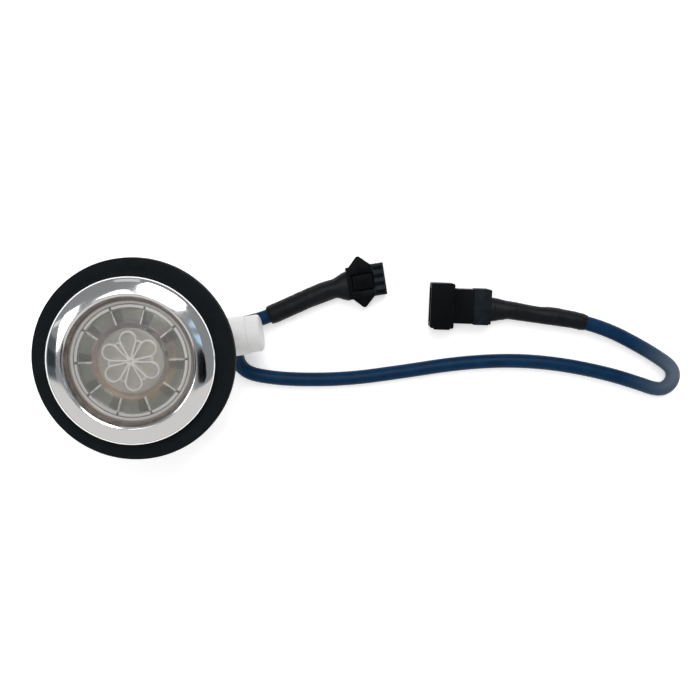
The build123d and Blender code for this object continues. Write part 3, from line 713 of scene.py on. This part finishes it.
def rosette_surface(r, azimuth):
    """Petals and slim loops drawn in ridges round a small hub."""
    turn = math.radians(from_nearest(azimuth, PETAL_ANGLE, PETAL_COUNT))
    petal = taper_outline(r * math.cos(turn), r * math.sin(turn), 1.1, 6.05, 0.35, 2.2)
    between = PETAL_ANGLE + 180 / PETAL_COUNT
    turn = math.radians(from_nearest(azimuth, between, PETAL_COUNT))
    loop = taper_outline(r * math.cos(turn), r * math.sin(turn), 1.9, 5.4, 0.3, 0.7)
    ridge = max(
        1 - smoothstep(0.16, 0.42, abs(petal)), 1 - smoothstep(0.12, 0.36, abs(loop)),
        1 - smoothstep(0.3, 0.7, abs(r - 0.75)),
    )
    height = ROSETTE_HEIGHT * (1 - smoothstep(8.9, ROSETTE_R, r)) + RIDGE_HEIGHT * ridge
    if petal < -0.3:
        height -= PETAL_HOLLOW * smoothstep(0.3, 1.2, -petal)
    finish = FROSTED if ridge > 0.4 else ROSETTE
    return height, finish if r < ROSETTE_R else CLEAR


def lens_surface(r, azimuth):
    """Height above the lens's flat top, and which finish it has there."""
    if r > RIM_INNER_R:
        return RIM_HEIGHT * smoothstep(RIM_INNER_R, RIM_INNER_R + 0.25, r), RIM
    if r > SEGMENT_START_R:
        return segment_surface(r, azimuth)
    return rosette_surface(r, azimuth)


def lens_rings():
    """Radii of the lens's mesh rings, closer where there is relief."""
    rings = [0.18 + 0.16 * step for step in range(60)]
    rings += [9.9 + 0.1625 * step for step in range(39)]
    return rings + [16.12, 16.2, 16.3, 16.4, 16.55, 16.7, 16.82, LENS_R]


def make_lens(materials):
    """Round lens with ten prisms, a rosette of six petals and a raised rim."""
    azimuths = [360 * step / LENS_STEPS for step in range(LENS_STEPS)]
    bm = bmesh.new()

    def ring(r, heights):
        row = []
        for azimuth, z in zip(azimuths, heights):
            angle = math.radians(azimuth)
            x, y = r * math.cos(angle), r * math.sin(angle)
            row.append(bm.verts.new((x * MM, y * MM, z * MM)))
        return row

    rows, finishes = [], []
    for r in lens_rings():
        surface = [lens_surface(r, azimuth) for azimuth in azimuths]
        rows.append(ring(r, [LENS_TOP + height for height, _ in surface]))
        finishes.append([finish for _, finish in surface])
    rows.append(ring(LENS_R, [LENS_BOTTOM] * LENS_STEPS))
    for row, following, marks in zip(rows, rows[1:], finishes):
        for step in range(LENS_STEPS):
            after = (step + 1) % LENS_STEPS
            face = bm.faces.new((row[step], following[step], following[after], row[after]))
            face.material_index = marks[step]
    bm.faces.new(rows[0]).material_index = FROSTED
    bm.faces.new(rows[-1][::-1]).material_index = CLEAR
    bmesh.ops.recalc_face_normals(bm, faces=bm.faces)
    piece = finish_mesh("lens_clear", mesh_from(bm, "lens_clear"), materials, crease=60)
    return place(piece, LIGHT, "clear_plastic", "lens")


# ------------------------------------------------------------------ reflector
def make_reflector(body, rim):
    """Cup round the lamp with a wide, heat-tinted lip and a flat shelf."""
    section = [(9.2, 29.8), (9.85, 29.8), (11.4, 36.0), (15.5, 36.0), (15.5, 36.6), (12.3, 36.6)]
    first_rim = len(section) - 1
    section += [(12.0, 36.75), (11.5, 36.85), (10.9, 36.7), (10.2, 36.1), (9.7, 35.4), (9.3, 34.6)]
    last_rim = len(section) - 1
    piece = lathe(
        "reflector_cup", section, [body, rim], steps=192,
        pick=lambda index: 1 if first_rim <= index < last_rim else 0,
    )
    return place(piece, LIGHT, "reflector_plastic", "lamp_reflector")


make_gasket(gasket_rubber())
make_bezel(chrome(), painted_shade_chrome())
make_reflector(reflector_plastic(), tinted_rim())
make_lens([
    lens_plastic("lens_clear", (0.84, 0.83, 0.81), 0.90, 0.05, 0.14, 0.10),
    lens_plastic("lens_pad", (0.62, 0.64, 0.58), 0.88, 0.14, 0.28, 0.10),
    lens_plastic("lens_pad_dark", (0.36, 0.38, 0.36), 0.85, 0.14, 0.28, 0.10),
    lens_plastic("lens_rosette", (0.84, 0.82, 0.77), 0.80, 0.30, 0.44, 0.10),
    lens_plastic("lens_frosted", (0.84, 0.83, 0.81), 0.50, 0.24, 0.40, 0.06),
    lens_plastic("lens_rim", (0.88, 0.86, 0.84), 0.55, 0.08, 0.20, 0.05),
])

# ------------------------------------------------------------------ CAD nodes that stay
WHITE = white_plastic()
RUBBER = plain("seal_rubber", (0.015, 0.016, 0.018), 0.6)
STEEL = plain("screw_steel", (0.55, 0.55, 0.56), 0.3, metallic=1.0)
TIN = plain("tinned_brass", (0.72, 0.68, 0.56), 0.28, metallic=1.0)
node_materials = {
    "housing_body": WHITE, "lock_nut": WHITE, "nut_washer": WHITE, "boot_body": WHITE,
    "boot_cap": WHITE, "rear_cap": WHITE, "rear_cap_seal": RUBBER, "boot_seal": RUBBER,
    "long_lead_grommet": RUBBER, "short_lead_grommet": RUBBER, "lens_seal": seal_silicone(),
    "heat_spreader": plain("milled_aluminium", (0.62, 0.62, 0.64), 0.4, metallic=1.0),
    "led_board": plain("board_mask", (0.44, 0.43, 0.39), 0.5),
    "led_chips": plain("led_phosphor", (0.50, 0.47, 0.30), 0.4),
    "board_resistors": plain("resistor_body", (0.02, 0.02, 0.02), 0.4),
    "board_screws": STEEL, "rear_cap_screws": STEEL,
    "board_wires": plain("wire_jacket", (0.42, 0.03, 0.02), 0.4),
    "tail_potting": plain("potting_resin", (0.02, 0.02, 0.022), 0.2),
    "boot_potting": plain("boot_resin", (0.02, 0.02, 0.022), 0.2),
    "plug_contacts": TIN, "socket_pins": TIN,
}
for node, material in node_materials.items():
    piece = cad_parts[node]
    piece.data.materials.clear()
    piece.data.materials.append(material)


# ------------------------------------------------------------------ stage and light
CARD_HEIGHT = 0.9


def glow(name, color, strength):
    """Even emission for a studio card."""
    material = bpy.data.materials.new(name)
    material.use_nodes = True
    nodes = material.node_tree.nodes
    nodes.clear()
    emission = nodes.new("ShaderNodeEmission")
    emission.inputs["Color"].default_value = (*color, 1.0)
    emission.inputs["Strength"].default_value = strength
    output = nodes.new("ShaderNodeOutputMaterial")
    material.node_tree.links.new(emission.outputs["Emission"], output.inputs["Surface"])
    return material


def add_card(name, outline, color, strength, lower=0.0):
    """Level card overhead; its outline is in card heights from the light's axis."""
    height = CARD_HEIGHT - lower
    mesh = bpy.data.meshes.new(name)
    corners = [(x * height, y * height, height) for x, y in outline]
    mesh.from_pydata(corners, [], [range(len(corners))])
    mesh.materials.append(glow(name, color, strength))
    card = bpy.data.objects.new(name, mesh)
    card.visible_camera = False
    bpy.context.collection.objects.link(card)


def add_backdrop():
    """White surround behind the floor's edge; it lights and reflects in nothing."""
    bpy.ops.mesh.primitive_uv_sphere_add(segments=64, ring_count=32, radius=6.0)
    backdrop = bpy.context.object
    backdrop.name = "backdrop"
    backdrop.data.materials.append(glow("backdrop_white", (1.0, 1.0, 1.0), 1.0))
    backdrop.visible_diffuse = False
    backdrop.visible_glossy = False
    backdrop.visible_transmission = False
    backdrop.visible_shadow = False


def add_floor():
    """White table that glows a little, just under the light."""
    bpy.ops.mesh.primitive_plane_add(size=4.0, location=(0.06, 0.0, -0.0003))
    floor = bpy.context.object
    floor.name = "floor"
    shader = Shader("floor_paper", (0.85, 0.85, 0.85), 0.8)
    shader.bsdf.inputs["Emission Color"].default_value = (1.0, 1.0, 1.0, 1.0)
    shader.bsdf.inputs["Emission Strength"].default_value = 0.45
    floor.data.materials.append(shader.material)


def set_world(color, strength):
    """Even fill light from all round."""
    world = bpy.data.worlds.new("world")
    world.use_nodes = True
    background = world.node_tree.nodes["Background"]
    background.inputs["Color"].default_value = (*color, 1.0)
    background.inputs["Strength"].default_value = strength
    bpy.context.scene.world = world


add_backdrop()
add_floor()
set_world((0.94, 0.97, 1.0), 0.26)
add_card(
    "wall_card", [(-8.0, -2.2), (-3.2, -0.95), (-0.5, -0.22), (-0.15, -0.16), (0.03, -0.24),
                  (0.5, -0.38), (3.2, -1.2), (8.0, -2.6), (8.0, -10.0), (-8.0, -10.0)],
    (1.0, 0.975, 0.95), 0.68,
)
add_card(
    "window_main", [(-0.2, -0.05), (-0.14, 0.6), (0.05, 1.45), (0.85, 1.02), (0.28, 0.35)],
    (1.0, 0.99, 0.98), 6.0,
)
add_card(
    "window_side", [(-0.30, -0.09), (-0.53, 0.18), (-0.95, 0.33), (-1.0, 0.22), (-0.57, -0.09)],
    (0.97, 0.98, 1.0), 4.0,
)
add_card(
    "window_slit", [(-0.27, -0.04), (-0.31, 0.05), (-0.27, 0.2), (-0.225, 0.18), (-0.215, -0.04)],
    (1.0, 0.99, 0.97), 2.5, lower=0.01,
)
add_card(
    "window_far", [(-0.5, 1.0), (-1.1, 2.4), (-0.2, 3.4), (-0.12, 1.0)], (1.0, 1.0, 1.0), 0.62,
)
add_card("streak_left", [(-0.9, 0.2), (-4.0, 0.85), (-4.0, 1.15), (-0.9, 0.27)],
         (0.95, 0.98, 1.0), 0.8)
add_card("blue_upper", [(-0.05, -0.02), (0.25, 0.19), (0.28, 0.13)], (0.55, 0.78, 1.0), 0.9)
add_card("blue_lower", [(-0.05, -0.05), (0.29, 0.08), (0.27, -0.02)], (0.55, 0.78, 1.0), 0.9)
add_card(
    "dark_right", [(-0.14, -0.12), (0.16, -0.05), (0.3, -0.07), (0.54, -0.3), (0.42, -0.33),
                   (0.08, -0.22)], (0.4, 0.45, 0.6), 0.006, lower=0.02,
)
add_card(
    "shade_left", [(-0.7, 0.0), (-6.0, 1.0), (-6.0, -1.5), (-0.7, -0.25)],
    (0.6, 0.75, 0.85), 0.13, lower=0.01,
)
add_card(
    "dark_left", [(-0.6, -0.1), (-4.0, 0.1), (-4.0, -0.6), (-0.6, -0.17)],
    (0.5, 0.65, 0.75), 0.06, lower=0.02,
)
bpy.context.scene.view_settings.view_transform = "Standard"
